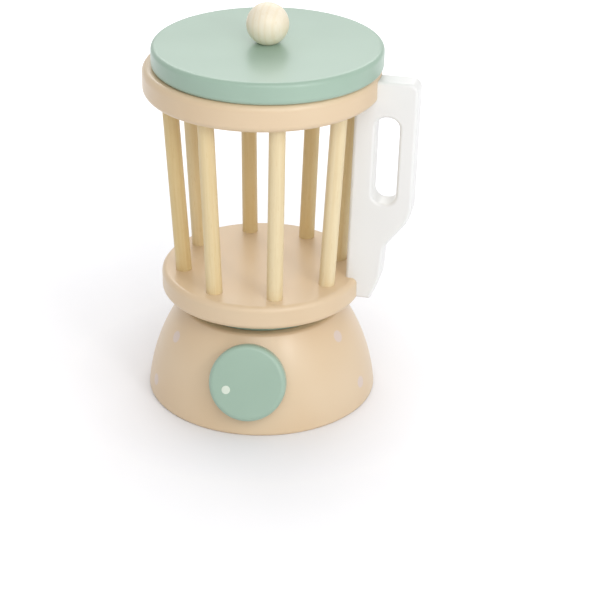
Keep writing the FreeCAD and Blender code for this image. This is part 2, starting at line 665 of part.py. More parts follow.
def handle():
    """Board on edge, let in between the rim and the floor disc, with a finger hole."""
    low, high = f"({TABLE_TOP} + handle_foot_rise)", f"({RIM_TOP} - handle_top_drop)"
    heel, neck = (f"({FLOOR_TOP} + {height} - {low})"
                  for height in ("handle_heel_height", "handle_neck_height"))
    inner = "(floor_radius - handle_foot_lap)"
    grip_outer = f"({inner} + grip_palm + grip_width)"
    body = new_body("handle", JAR)
    outline = [
        (inner, low),
        (f"{inner} + handle_foot_width", low),
        (f"{inner} + handle_foot_width + handle_heel_swell"
         f" + (handle_neck_width - handle_foot_width) * {heel} / {neck}",
         f"{low} + {heel}"),
        (f"{inner} + handle_neck_width", f"{low} + {neck}"),
        (f"{grip_outer} + grip_bar - grip_bar_taper", f"{FLOOR_TOP} + handle_elbow_height"),
        (f"{grip_outer} + grip_lean + grip_bar", high),
        ("rim_radius - handle_head_lap", high),
    ]
    rounds = [None, "handle_toe_round", "handle_heel_round", "handle_neck_round",
              "handle_elbow_round", "handle_corner", None]
    sketch = add_sketch(body, "XZ_Plane", "handle_outline")
    draw_board(sketch, outline, rounds)
    board = body.newObject("PartDesign::Pad", "handle_board")
    board.Profile = sketch
    board.SideType = "Symmetric"
    bind(board, Length="handle_thickness")
    body.Tip = board
    doc.recompute()

    sill, lintel = f"{FLOOR_TOP} + handle_elbow_height + grip_sill", f"{RIM_LOW} - grip_lintel"
    grip = [(f"{inner} + grip_palm", sill), (grip_outer, sill),
            (f"{grip_outer} + grip_lean", lintel), (f"{inner} + grip_palm + grip_lean", lintel)]
    sketch = add_sketch(body, "XZ_Plane", "handle_grip_outline")
    draw_board(sketch, grip, ["grip_corner"] * len(grip))
    hole = body.newObject("PartDesign::Pocket", "handle_grip")
    hole.Profile = sketch
    hole.Type = "ThroughAll"
    hole.SideType = "Symmetric"
    body.Tip = hole
    doc.recompute()

    dress(body, "Fillet", "handle_round", on_board_face)
    board_step(body, "rim_step", "rim_radius", RIM_LOW, f"{RIM_TOP} + cut_past",
               ["rim_round", None])
    board_step(body, "floor_step", "floor_radius", f"{TABLE_TOP} - cut_past", FLOOR_TOP,
               [None, "floor_round"])
    dowel_hole(body, "upper_dowel_hole", UPPER_DOWEL_Z, "rim_radius - cut_past",
               "cut_past + upper_dowel_outer + drill_end")
    dowel_hole(body, "lower_dowel_hole", LOWER_DOWEL_Z, "floor_radius - cut_past",
               "cut_past + lower_dowel_outer + drill_end")
    return keep(body)


def handle_dowel(label, z, start, length):
    frame = f"{JAR} * {move(x=start, z=z)} * {turn_y('90')}"
    return keep(rod(label, "handle_dowel_radius", length, frame))


# ---------------------------------------------------------------- lid

PLUG_LOW = f"({RIM_TOP} - plug_thickness)"
KNOB_CENTRE = f"({LID_TOP} + sqrt(knob_radius^2 - knob_flat^2))"
KNOB_SCREW_SINK = "(knob_screw_head - knob_screw_radius)"


def lid_top():
    body = new_body("lid_top", LID)
    revolve(body, [("0", RIM_TOP), ("lid_radius", RIM_TOP), ("lid_radius", LID_TOP), ("0", LID_TOP)])
    round_rings(body, "lid_round", ("lid_radius", RIM_TOP), ("lid_radius", LID_TOP))
    drill(body, "screw_hole", move(z=f"{RIM_TOP} - cut_past"), "knob_screw_radius + running_fit",
          "lid_thickness + 2 * cut_past")
    return keep(body)


def lid_plug():
    body = new_body("lid_plug", LID)
    radius = f"{MOUTH_RADIUS} - plug_clearance"
    revolve(body, [("0", PLUG_LOW), (radius, PLUG_LOW), (radius, RIM_TOP), ("0", RIM_TOP)])
    dress(body, "Chamfer", "plug_chamfer", circle_at(radius, PLUG_LOW))
    drill(body, "screw_hole", move(z=f"{PLUG_LOW} - cut_past"), "knob_screw_radius + running_fit",
          "plug_thickness + 2 * cut_past")
    drill(body, "screw_sink", move(z=PLUG_LOW), "knob_screw_head + running_fit", KNOB_SCREW_SINK,
          cone_radius="knob_screw_radius + running_fit")
    return keep(body)


def lid_knob():
    body = new_body("lid_knob", LID)
    ball = body.newObject("PartDesign::AdditiveSphere", "lid_knob_ball")
    bind(ball, Radius="knob_radius", Angle1="-acos(knob_flat / knob_radius)",
         Placement=move(z=KNOB_CENTRE))
    body.Tip = ball
    doc.recompute()
    drill(body, "screw_hole", move(z=f"{LID_TOP} - cut_past"), "knob_screw_radius + close_fit",
          "cut_past + knob_screw_grip + drill_end")
    return keep(body)


def knob_screw():
    return keep(screw("knob_screw", f"{LID} * {move(z=PLUG_LOW)}", "knob_screw_radius",
                      "plug_thickness + lid_thickness + knob_screw_grip", "knob_screw_head",
                      KNOB_SCREW_SINK, countersunk=True))


# ---------------------------------------------------------------- dial

AXLE_END = "(-dial_seat_depth - axle_play)"


def dial():
    body = new_body("dial", DIAL)
    front = "dial_gap + dial_thickness"
    revolve(body, [("0", "dial_gap"), ("dial_radius", "dial_gap"), ("dial_radius", front),
                   ("0", front)])
    round_rings(body, "dial_round", ("dial_radius", front))
    round_rings(body, "dial_back_round", ("dial_radius", "dial_gap"))
    drill(body, "axle_socket", move(z="dial_gap - cut_past"), "axle_radius + close_fit",
          "cut_past + axle_socket + drill_end")
    return keep(body)


def dial_axle():
    body = rod("dial_axle", "axle_radius", f"dial_gap + axle_socket - {AXLE_END}",
               f"{DIAL} * {move(z=AXLE_END)}")
    drill(body, "screw_hole", move(z="-cut_past"), "dial_screw_radius + close_fit",
          "cut_past + dial_screw_length - dial_washer_thickness + drill_end")
    return keep(body)


def dial_washer():
    return keep(rod("dial_washer", "dial_washer_radius", "dial_washer_thickness",
                    f"{DIAL} * {move(z=f'{AXLE_END} - dial_washer_thickness')}",
                    bore="dial_screw_radius + running_fit"))


def dial_screw():
    head = f"{AXLE_END} - dial_washer_thickness - dial_screw_head_height"
    return keep(screw("dial_screw", f"{DIAL} * {move(z=head)}", "dial_screw_radius",
                      "dial_screw_head_height + dial_screw_length", "dial_screw_head",
                      "dial_screw_head_height", countersunk=False))


# ---------------------------------------------------------------- the whole blender

base_shell()
base_plate()
plate_screws()
pivot_bolt()
pivot_washers()
pivot_nut()
turntable()
locating_pegs()
jar_floor()
jar_rim()
for index in range(int(number("bar_count"))):
    bar(index)
handle()
handle_dowel("upper_handle_dowel", UPPER_DOWEL_Z, "rim_radius - upper_dowel_inner",
             "upper_dowel_inner + upper_dowel_outer")
handle_dowel("lower_handle_dowel", LOWER_DOWEL_Z, "floor_radius - lower_dowel_inner",
             "lower_dowel_inner + lower_dowel_outer")
lid_top()
lid_plug()
lid_knob()
knob_screw()
dial()
dial_axle()
dial_washer()
dial_screw()
doc.recompute()

for thing in doc.Objects:
    if "Invalid" in thing.State or "Error" in thing.State:
        raise RuntimeError(f"{thing.Label} did not compute: {thing.State}")
for part in parts:
    if part.Shape.isNull() or not part.Shape.isValid() or not part.Shape.Solids:
        raise RuntimeError(f"{part.Label} has no valid solid")

os.makedirs("parts", exist_ok=True)
for part in parts:
    part.Shape.exportStep(f"parts/{part.Label}.step")
    print(f"{part.Label}: {len(part.Shape.Solids)} solid, {part.Shape.Volume / 1000:.2f} cm3")
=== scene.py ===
"""Finishes, detailed pieces, camera and studio for a wooden toy blender.

The part's own frame: +Z up, the dial faces -Y and the handle is near +X. The part's lengths are
millimetres times MM; the camera's and the studio's are metres.
"""

import json
import math

import bmesh
import bpy
from mathutils import Matrix, Vector


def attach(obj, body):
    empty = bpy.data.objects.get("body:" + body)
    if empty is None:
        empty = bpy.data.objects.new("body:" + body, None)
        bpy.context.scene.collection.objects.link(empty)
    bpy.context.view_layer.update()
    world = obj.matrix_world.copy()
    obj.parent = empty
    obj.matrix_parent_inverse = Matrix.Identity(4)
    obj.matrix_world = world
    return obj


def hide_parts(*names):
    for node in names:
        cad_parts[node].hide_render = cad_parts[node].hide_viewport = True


MM = 0.001
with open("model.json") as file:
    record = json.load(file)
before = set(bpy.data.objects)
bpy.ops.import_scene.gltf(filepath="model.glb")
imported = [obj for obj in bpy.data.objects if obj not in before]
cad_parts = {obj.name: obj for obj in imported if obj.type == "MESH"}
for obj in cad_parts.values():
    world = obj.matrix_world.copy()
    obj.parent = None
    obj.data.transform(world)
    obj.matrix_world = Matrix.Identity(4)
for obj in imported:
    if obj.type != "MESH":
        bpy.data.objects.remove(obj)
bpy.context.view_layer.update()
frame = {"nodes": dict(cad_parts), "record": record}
nodes = frame["nodes"]

# the jar is turned a little from the square of the dial, and the lid has slipped off its middle
JAR_TURN = math.radians(-6.3)
LID_SLIP_TURN = math.radians(-23.8)
LID_SLIP = 3.25 * MM

# where the dial's axis leaves the base's side, which way it points and how far out the face lies
DIAL_CENTRE = Vector((0, -55.503, 29.3)) * MM
DIAL_AXIS = Vector((0, -0.926857, 0.375413))
DIAL_FACE = 7.9 * MM

# wood screws: how long the point and how wide its tip is, in shank radii, and how thick a blade of
# the cross recess is, as a share of its width
SCREW_POINT = 2
SCREW_BLUNT = 0.25
RECESS_BLADE = 0.3


# ---------------------------------------------------------------- small tools

def colour(code):
    """The linear colour of an sRGB hex value."""
    channels = [int(code[k:k + 2], 16) / 255 for k in (0, 2, 4)]
    return [c / 12.92 if c <= 0.04045 else ((c + 0.055) / 1.055) ** 2.4 for c in channels] + [1]


def add(tree, kind, inputs=None, **settings):
    """Adds a node. An input that is given a socket is linked, any other value is set."""
    node = tree.nodes.new(kind)
    for name, value in settings.items():
        setattr(node, name, value)
    for name, value in (inputs or {}).items():
        if isinstance(value, bpy.types.NodeSocket):
            tree.links.new(value, node.inputs[name])
        else:
            node.inputs[name].default_value = value
    return node


def new_material(name):
    """An empty material and its node tree."""
    material = bpy.data.materials.new(name)
    material.use_nodes = True
    material.node_tree.nodes.clear()
    return material, material.node_tree


def smooth_by_angle(piece, degrees=35):
    """Shades the piece smooth, with a sharp edge where two faces meet at more than the angle."""
    for polygon in piece.data.polygons:
        polygon.use_smooth = True
    piece.data.set_sharp_from_angle(angle=math.radians(degrees))


# ---------------------------------------------------------------- finishes

# faint pale dots on the base: how far round from the dial in degrees, and how high in millimetres
PAINT_DOTS = ((-57, 38.5), (63, 41.8), (-64, 10.7), (70, 13.6))
PAINT_DOT_RADIUS = 3.2 * MM
PAINT_DOT_EDGE = 0.3 * MM


def base_side_radius(height):
    """The radius of the base's bulging side, at a height in millimetres."""
    foot, top, tall, bulge = 62.5, 43.4, 51.0, 100.5
    chord = math.hypot(foot - top, tall)
    depth = math.sqrt(bulge ** 2 - (chord / 2) ** 2)
    centre = (foot + top) / 2 - depth * tall / chord
    middle = tall / 2 - depth * (foot - top) / chord
    return centre + math.sqrt(bulge ** 2 - (height - middle) ** 2)


def satin_paint(name, light, shade, sheen=(0.28, 0.33), dots=None):
    """Water-based satin paint, sprayed on sanded beech: an even colour that drifts a little, the
    grain just felt through it, a fine orange peel and a broad soft sheen. Dots is their colour."""
    material, tree = new_material(name)
    place = add(tree, "ShaderNodeTexCoord").outputs["Object"]
    drift = add(tree, "ShaderNodeTexNoise", {"Vector": place, "Scale": 1 / (35 * MM), "Detail": 1})
    paint = add(tree, "ShaderNodeMix", {0: drift.outputs["Fac"], 6: colour(shade),
                                        7: colour(light)}, data_type="RGBA").outputs[2]
    if dots:
        # printed dots with a soft edge: the distance to the nearest dot's middle says where
        nearest = None
        for turn, height in PAINT_DOTS:
            angle, radius = math.radians(turn), base_side_radius(height)
            centre = Vector((math.sin(angle) * radius, -math.cos(angle) * radius, height)) * MM
            reach = add(tree, "ShaderNodeVectorMath", {0: place, 1: centre},
                        operation="DISTANCE").outputs["Value"]
            nearest = reach if nearest is None else add(
                tree, "ShaderNodeMath", {0: nearest, 1: reach}, operation="MINIMUM").outputs[0]
        share = add(tree, "ShaderNodeMapRange",
                    {"Value": nearest, "From Min": PAINT_DOT_RADIUS + PAINT_DOT_EDGE,
                     "From Max": PAINT_DOT_RADIUS - PAINT_DOT_EDGE, "To Min": 0, "To Max": 1})
        paint = add(tree, "ShaderNodeMix", {0: share.outputs["Result"], 6: paint, 7: colour(dots)},
                    data_type="RGBA").outputs[2]

    along = add(tree, "ShaderNodeMapping", {"Vector": place, "Scale": (1, 14, 14)})
    grain = add(tree, "ShaderNodeTexNoise",
                {"Vector": along.outputs["Vector"], "Scale": 1 / (22 * MM), "Detail": 4})
    peel = add(tree, "ShaderNodeTexNoise", {"Vector": place, "Scale": 1 / (0.9 * MM), "Detail": 1})
    felt = add(tree, "ShaderNodeBump", {"Height": grain.outputs["Fac"], "Strength": 0.25,
                                        "Distance": 0.05 * MM})
    skin = add(tree, "ShaderNodeBump", {"Height": peel.outputs["Fac"], "Strength": 0.25,
                                        "Distance": 0.02 * MM, "Normal": felt.outputs["Normal"]})
    gloss = add(tree, "ShaderNodeMapRange", {"Value": drift.outputs["Fac"], "To Min": sheen[0],
                                             "To Max": sheen[1]})
    surface = add(tree, "ShaderNodeBsdfPrincipled",
                  {"Base Color": paint, "Roughness": gloss.outputs["Result"],
                   "IOR": 1.5, "Normal": skin.outputs["Normal"]})
    add(tree, "ShaderNodeOutputMaterial", {"Surface": surface.outputs["BSDF"]})
    return material


# a wave texture has 20 radians in each unit of its scaled coordinate
WAVE = math.tau / 20

# each bar is cut from its own place in the wood, up to this many metres off, either way
CUT_REACH = 0.5

# how far a bar's wood may differ from the bars' common colour, as factors of linear colour; the
# warmest end also holds painted shade and the palest end a painted bluish reflection of the lamps
WARMEST_BAR_AND_SHADE = (0.95, 0.88, 0.70, 1)
PALEST_BAR_AND_SHEEN = (1.10, 1.17, 1.34, 1)


def sealed_birch(name, pale, tone, line, of_bars=False):
    """Birch, turned, sanded and clear sealed: pale, with faint growth layers and fine fibres that
    run up the piece, a few short flecks and a low even sheen. The bars have a grain of their own,
    in the attributes grain and cut that leaning_bars gives them."""
    material, tree = new_material(name)
    if of_bars:
        place = add(tree, "ShaderNodeAttribute", attribute_name="grain").outputs["Vector"]
    else:
        place = add(tree, "ShaderNodeTexCoord").outputs["Object"]
    # growth layers 3.2 mm apart that wander slowly
    upright = add(tree, "ShaderNodeMapping", {"Vector": place, "Rotation": (0, 0, 0.6),
                                              "Scale": (1, 0.35, 0.06)})
    layers = add(tree, "ShaderNodeTexWave",
                 {"Vector": upright.outputs["Vector"], "Scale": WAVE / (3.2 * MM), "Distortion": 5,
                  "Detail": 2, "Detail Scale": 0.6}, wave_profile="SIN")
    # fibres; real ones are a tenth as wide, and are drawn coarser so that they show
    fibre_place = add(tree, "ShaderNodeMapping", {"Vector": place, "Scale": (1, 1, 0.035)})
    fibres = add(tree, "ShaderNodeTexNoise",
                 {"Vector": fibre_place.outputs["Vector"], "Scale": 1 / (0.9 * MM), "Detail": 3,
                  "Roughness": 0.6})
    fleck_place = add(tree, "ShaderNodeMapping", {"Vector": place, "Scale": (1, 1, 0.16)})
    flecks = add(tree, "ShaderNodeTexNoise",
                 {"Vector": fleck_place.outputs["Vector"], "Scale": 1 / (0.7 * MM), "Detail": 0})
    wood = None
    for value, low, high, most, first, second in (
            (fibres.outputs["Fac"], 0.3, 0.7, 1, tone, pale),
            (layers.outputs["Fac"], 0.55, 1, 0.35, None, line),
            (flecks.outputs["Fac"], 0.68, 0.78, 0.4, None, line)):
        share = add(tree, "ShaderNodeMapRange", {"Value": value, "From Min": low, "From Max": high,
                                                 "To Max": most})
        wood = add(tree, "ShaderNodeMix",
                   {0: share.outputs["Result"], 6: colour(first) if first else wood,
                    7: colour(second)}, data_type="RGBA").outputs[2]
    if of_bars:
        # the place that a bar is cut from also makes it warmer or paler than the next: partly a
        # real wood tone, partly painted shade on the warm bars and painted reflected light on the
        # pale ones
        cut = add(tree, "ShaderNodeAttribute", attribute_name="cut").outputs["Vector"]
        across = add(tree, "ShaderNodeSeparateXYZ", {"Vector": cut}).outputs["X"]
        share = add(tree, "ShaderNodeMapRange",
                    {"Value": across, "From Min": -CUT_REACH, "From Max": CUT_REACH})
        tint = add(tree, "ShaderNodeMix", {0: share.outputs["Result"], 6: WARMEST_BAR_AND_SHADE,
                                           7: PALEST_BAR_AND_SHEEN}, data_type="RGBA").outputs[2]
        wood = add(tree, "ShaderNodeMix", {0: 1.0, 6: wood, 7: tint}, data_type="RGBA",
                   blend_type="MULTIPLY").outputs[2]
    felt = add(tree, "ShaderNodeBump", {"Height": fibres.outputs["Fac"], "Strength": 0.3,
                                        "Distance": 0.03 * MM})
    gloss = add(tree, "ShaderNodeMapRange", {"Value": fibres.outputs["Fac"], "To Min": 0.50,
                                             "To Max": 0.38})
    surface = add(tree, "ShaderNodeBsdfPrincipled",
                  {"Base Color": wood, "Roughness": gloss.outputs["Result"], "IOR": 1.45,
                   "Normal": felt.outputs["Normal"]})
    add(tree, "ShaderNodeOutputMaterial", {"Surface": surface.outputs["BSDF"]})
    return material


def birch_plywood(name, lower_face, upper_face, veneers):
    """Sanded birch plywood: pale faces with a watery rotary-cut figure, and edges where every other
    veneer shows darker end grain, with a thin glue line between veneers. The faces' heights are in
    millimetres."""
    material, tree = new_material(name)
    place = add(tree, "ShaderNodeTexCoord").outputs["Object"]
    height = add(tree, "ShaderNodeSeparateXYZ", {"Vector": place}).outputs["Z"]
    # counted from a hair below the lower face to a hair above the upper one
    hair = 0.05 * MM
    count = add(tree, "ShaderNodeMapRange",
                {"Value": height, "From Min": lower_face * MM - hair,
                 "From Max": upper_face * MM + hair, "To Max": veneers}).outputs["Result"]
    turn = add(tree, "ShaderNodeMath", {0: count, 1: 2}, operation="FLOORED_MODULO").outputs[0]
    crossed = add(tree, "ShaderNodeMath", {0: turn, 1: 1}, operation="GREATER_THAN").outputs[0]
    to_glue = add(tree, "ShaderNodeMath", {0: count, 1: 0.5}, operation="PINGPONG").outputs[0]
    near_glue = add(tree, "ShaderNodeMapRange", {"Value": to_glue, "From Min": 0.06,
                                                 "From Max": 0.02, "To Max": 0.6})
    # the two faces themselves are no glue lines
    off_middle = add(tree, "ShaderNodeMath", {0: count, 1: veneers / 2}, operation="SUBTRACT")
    away = add(tree, "ShaderNodeMath", {0: off_middle.outputs[0]}, operation="ABSOLUTE").outputs[0]
    inner = add(tree, "ShaderNodeMath", {0: away, 1: veneers / 2 - 0.5},
                operation="LESS_THAN").outputs[0]
    glue = add(tree, "ShaderNodeMath", {0: near_glue.outputs["Result"], 1: inner},
               operation="MULTIPLY").outputs[0]
    watery = add(tree, "ShaderNodeMapping", {"Vector": place, "Scale": (0.25, 1, 1)})
    figure = add(tree, "ShaderNodeTexWave",
                 {"Vector": watery.outputs["Vector"], "Scale": WAVE / (9 * MM), "Distortion": 9,
                  "Detail": 2, "Detail Scale": 0.7}, bands_direction="Y")
    pores = add(tree, "ShaderNodeTexNoise", {"Vector": place, "Scale": 1 / (0.5 * MM), "Detail": 2})
    face = add(tree, "ShaderNodeMix", {0: figure.outputs["Fac"], 6: colour("e6cfa2"),
                                       7: colour("dcc293")}, data_type="RGBA").outputs[2]
    end_grain = add(tree, "ShaderNodeMix", {0: pores.outputs["Fac"], 6: colour("b98f5f"),
                                            7: colour("c9a474")}, data_type="RGBA").outputs[2]
    board = add(tree, "ShaderNodeMix", {0: crossed, 6: face, 7: end_grain},
                data_type="RGBA").outputs[2]
    board = add(tree, "ShaderNodeMix", {0: glue, 6: board, 7: colour("8a6238")},
                data_type="RGBA").outputs[2]
    felt = add(tree, "ShaderNodeBump", {"Height": pores.outputs["Fac"], "Strength": 0.3,
                                        "Distance": 0.04 * MM})
    surface = add(tree, "ShaderNodeBsdfPrincipled", {"Base Color": board, "Roughness": 0.6,
                                                     "IOR": 1.45, "Normal": felt.outputs["Normal"]})
    add(tree, "ShaderNodeOutputMaterial", {"Surface": surface.outputs["BSDF"]})
    return material


def zinc_plating(name):
    """Bright zinc on a steel screw, nut or washer: silvery with faint straw and blue clouds, fine
    stamping and turning marks and a soft metal shine."""
    material, tree = new_material(name)
    place = add(tree, "ShaderNodeTexCoord").outputs["Object"]
    clouds = add(tree, "ShaderNodeTexNoise", {"Vector": place, "Scale": 1 / (4 * MM), "Detail": 2})
    marks = add(tree, "ShaderNodeTexNoise",
                {"Vector": place, "Scale": 1 / (0.35 * MM), "Detail": 3})
    plating = add(tree, "ShaderNodeValToRGB", {"Fac": clouds.outputs["Fac"]})
    ramp = plating.color_ramp.elements
    ramp[0].position = 0.35
    ramp[0].color = colour("b4b9c4")
    ramp[1].position = 0.65
    ramp[1].color = colour("c6c2b4")
    ramp.new(0.5).color = colour("bdbfc2")
    gloss = add(tree, "ShaderNodeMapRange", {"Value": marks.outputs["Fac"], "To Min": 0.28,
                                             "To Max": 0.42})
    struck = add(tree, "ShaderNodeBump", {"Height": marks.outputs["Fac"], "Strength": 0.35,
                                          "Distance": 0.02 * MM})
    surface = add(tree, "ShaderNodeBsdfPrincipled",
                  {"Base Color": plating.outputs["Color"], "Metallic": 1.0,
                   "Roughness": gloss.outputs["Result"], "Normal": struck.outputs["Normal"]})
    add(tree, "ShaderNodeOutputMaterial", {"Surface": surface.outputs["BSDF"]})
    return material


BEIGE = ("dcc7a9", "d6bb97")
beige_paint = satin_paint("beige satin paint", *BEIGE)
dotted_paint = satin_paint("beige satin paint with dots", *BEIGE, dots="d6c4b9")
mint_paint = satin_paint("mint satin paint", "a1baa9", "95ae9d")
white_paint = satin_paint("white satin paint", "ebebe9", "e1e1df")
# thin enough that the mint paint tints it
dot_ink = satin_paint("white pad printing ink", "d8e1d3", "d3dcce")
bar_birch = sealed_birch("clear sealed birch bars", "e0cea6", "dbc79c", "d5bd8d", of_bars=True)
ball_birch = sealed_birch("clear sealed birch", "f3e9d5", "f1e5cd", "ead9b6")
plate_plywood = birch_plywood("birch plywood of three veneers", 0, 4, veneers=3)
plug_plywood = birch_plywood("birch plywood of five veneers", 178.5, 186.5, veneers=5)
zinc = zinc_plating("bright zinc plated steel")

# by the record's material slots, and the nodes that differ from their slot
FINISHES = {
    "beige_paint": beige_paint, "mint_paint": mint_paint, "white_paint": white_paint,
    "natural_wood": ball_birch, "plywood": plate_plywood, "zinc_steel": zinc,
}
OWN_FINISH = {"base_shell": dotted_paint, "lid_plug": plug_plywood}


def dress_nodes():
    """Every carried-over node takes the finish of its slot, or one of its own."""
    for subpart in frame["record"]["subparts"]:
        node = subpart["node"]
        mesh = nodes[node].data
        mesh.materials.clear()
        mesh.materials.append(OWN_FINISH.get(node) or FINISHES[subpart["material_slot"]])


# ---------------------------------------------------------------- pieces that follow a rule

def new_tree(name, inputs):
    """A Geometry Nodes tree with a named input for each size and one output."""
    tree = bpy.data.node_groups.new(name, "GeometryNodeTree")
    for title, kind in inputs.items():
        tree.interface.new_socket(title, in_out="INPUT", socket_type="NodeSocket" + kind)
    tree.interface.new_socket("Geometry", in_out="OUTPUT", socket_type="NodeSocketGeometry")
    return tree, tree.nodes.new("NodeGroupInput").outputs


def grow(name, tree, sizes, body, slot, *replaced):
    """Makes a piece with the tree and keeps it as a plain mesh that rides on the body."""
    piece = bpy.data.objects.new(name, bpy.data.meshes.new(name))
    bpy.context.scene.collection.objects.link(piece)
    modifier = piece.modifiers.new(name, "NODES")
    modifier.node_group = tree
    for socket in tree.interface.items_tree:
        if socket.in_out == "INPUT":
            modifier[socket.identifier] = sizes[socket.name]
    graph = bpy.context.evaluated_depsgraph_get()
    made = bpy.data.meshes.new_from_object(piece.evaluated_get(graph), depsgraph=graph,
                                           preserve_all_data_layers=True)
    piece.modifiers.remove(modifier)
    piece.data = made
    smooth_by_angle(piece)
    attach(piece, body)
    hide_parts(*replaced)


def ring_angle(tree, count, start, offset):
    """The angle of each point of a ring of count points, offset by a share of a step."""
    index = add(tree, "GeometryNodeInputIndex").outputs["Index"]
    step = add(tree, "ShaderNodeMath", {0: index, 1: offset}, operation="ADD")
    share = add(tree, "ShaderNodeMath", {0: step.outputs[0], 1: count}, operation="DIVIDE")
    return add(tree, "ShaderNodeMath", {0: share.outputs[0], 1: math.tau, 2: start},
               operation="MULTIPLY_ADD").outputs[0]


def leaning_bars():
    """Round bars between a ring in the jar's floor and a wider ring in its rim. Each keeps its own
    place in the attribute grain, so that its wood runs along it and differs from the next, and in
    cut where in the wood it comes from."""
    tree, size = new_tree("leaning bars", {
        "Bars": "Int", "Foot Ring": "Float", "Head Ring": "Float", "Foot Height": "Float",
        "Head Height": "Float", "Bar Radius": "Float", "Foot Socket": "Float",
        "Head Socket": "Float", "Turn": "Float", "Seed": "Int", "Finish": "Material"})
    spread = add(tree, "ShaderNodeMath", {0: size["Head Ring"], 1: size["Foot Ring"]},
                 operation="SUBTRACT").outputs[0]
    rise = add(tree, "ShaderNodeMath", {0: size["Head Height"], 1: size["Foot Height"]},
               operation="SUBTRACT").outputs[0]
    lean = add(tree, "ShaderNodeMath", {0: spread, 1: rise}, operation="ARCTAN2").outputs[0]
    reach = add(tree, "ShaderNodeCombineXYZ", {"X": spread, "Y": rise})
    span = add(tree, "ShaderNodeVectorMath", {0: reach.outputs["Vector"]}, operation="LENGTH")
    sockets = add(tree, "ShaderNodeMath", {0: size["Foot Socket"], 1: size["Head Socket"]},
                  operation="ADD").outputs[0]
    length = add(tree, "ShaderNodeMath", {0: span.outputs["Value"], 1: sockets},
                 operation="ADD").outputs[0]
    bar = add(tree, "GeometryNodeMeshCylinder",
              {"Vertices": 48, "Side Segments": 1, "Radius": size["Bar Radius"], "Depth": length})
    middle = add(tree, "ShaderNodeMath", {0: length, 1: 0.5}, operation="MULTIPLY").outputs[0]
    above_foot = add(tree, "ShaderNodeMath", {0: middle, 1: size["Foot Socket"]},
                     operation="SUBTRACT").outputs[0]
    lift = add(tree, "ShaderNodeCombineXYZ", {"Z": above_foot})
    raised = add(tree, "GeometryNodeTransform", {"Geometry": bar.outputs["Mesh"],
                                                 "Translation": lift.outputs["Vector"]})
    own = add(tree, "GeometryNodeStoreNamedAttribute",
              {"Geometry": raised.outputs["Geometry"], "Name": "grain",
               "Value": add(tree, "GeometryNodeInputPosition").outputs["Position"]},
              data_type="FLOAT_VECTOR", domain="POINT")

    angle = ring_angle(tree, size["Bars"], size["Turn"], 0.5)
    foot = add(tree, "ShaderNodeCombineXYZ", {"X": size["Foot Ring"], "Z": size["Foot Height"]})
    stand = add(tree, "ShaderNodeVectorRotate", {"Vector": foot.outputs["Vector"], "Angle": angle},
                rotation_type="Z_AXIS")
    ring = add(tree, "GeometryNodePoints", {"Count": size["Bars"],
                                            "Position": stand.outputs["Vector"]})
    tilt = add(tree, "ShaderNodeCombineXYZ", {"Y": lean, "Z": angle})
    bars = add(tree, "GeometryNodeInstanceOnPoints",
               {"Points": ring.outputs["Points"], "Instance": own.outputs["Geometry"],
                "Rotation": tilt.outputs["Vector"]})
    # each bar is cut from another place in the wood
    cut = add(tree, "FunctionNodeRandomValue", {0: [-CUT_REACH] * 3, 1: [CUT_REACH] * 3,
                                                8: size["Seed"]}, data_type="FLOAT_VECTOR")
    marked = add(tree, "GeometryNodeStoreNamedAttribute",
                 {"Geometry": bars.outputs["Instances"], "Name": "cut",
                  "Value": cut.outputs[0]}, data_type="FLOAT_VECTOR", domain="INSTANCE")
    real = add(tree, "GeometryNodeRealizeInstances", {"Geometry": marked.outputs["Geometry"]})
    here = add(tree, "GeometryNodeInputNamedAttribute", {"Name": "grain"}, data_type="FLOAT_VECTOR")
    there = add(tree, "GeometryNodeInputNamedAttribute", {"Name": "cut"}, data_type="FLOAT_VECTOR")
    moved = add(tree, "ShaderNodeVectorMath", {0: here.outputs["Attribute"],
                                               1: there.outputs["Attribute"]}, operation="ADD")
    grained = add(tree, "GeometryNodeStoreNamedAttribute",
                  {"Geometry": real.outputs["Geometry"], "Name": "grain",
                   "Value": moved.outputs["Vector"]}, data_type="FLOAT_VECTOR", domain="POINT")
    finished = add(tree, "GeometryNodeSetMaterial", {"Geometry": grained.outputs["Geometry"],
                                                     "Material": size["Finish"]})
    add(tree, "NodeGroupOutput", {"Geometry": finished.outputs["Geometry"]})
    return tree


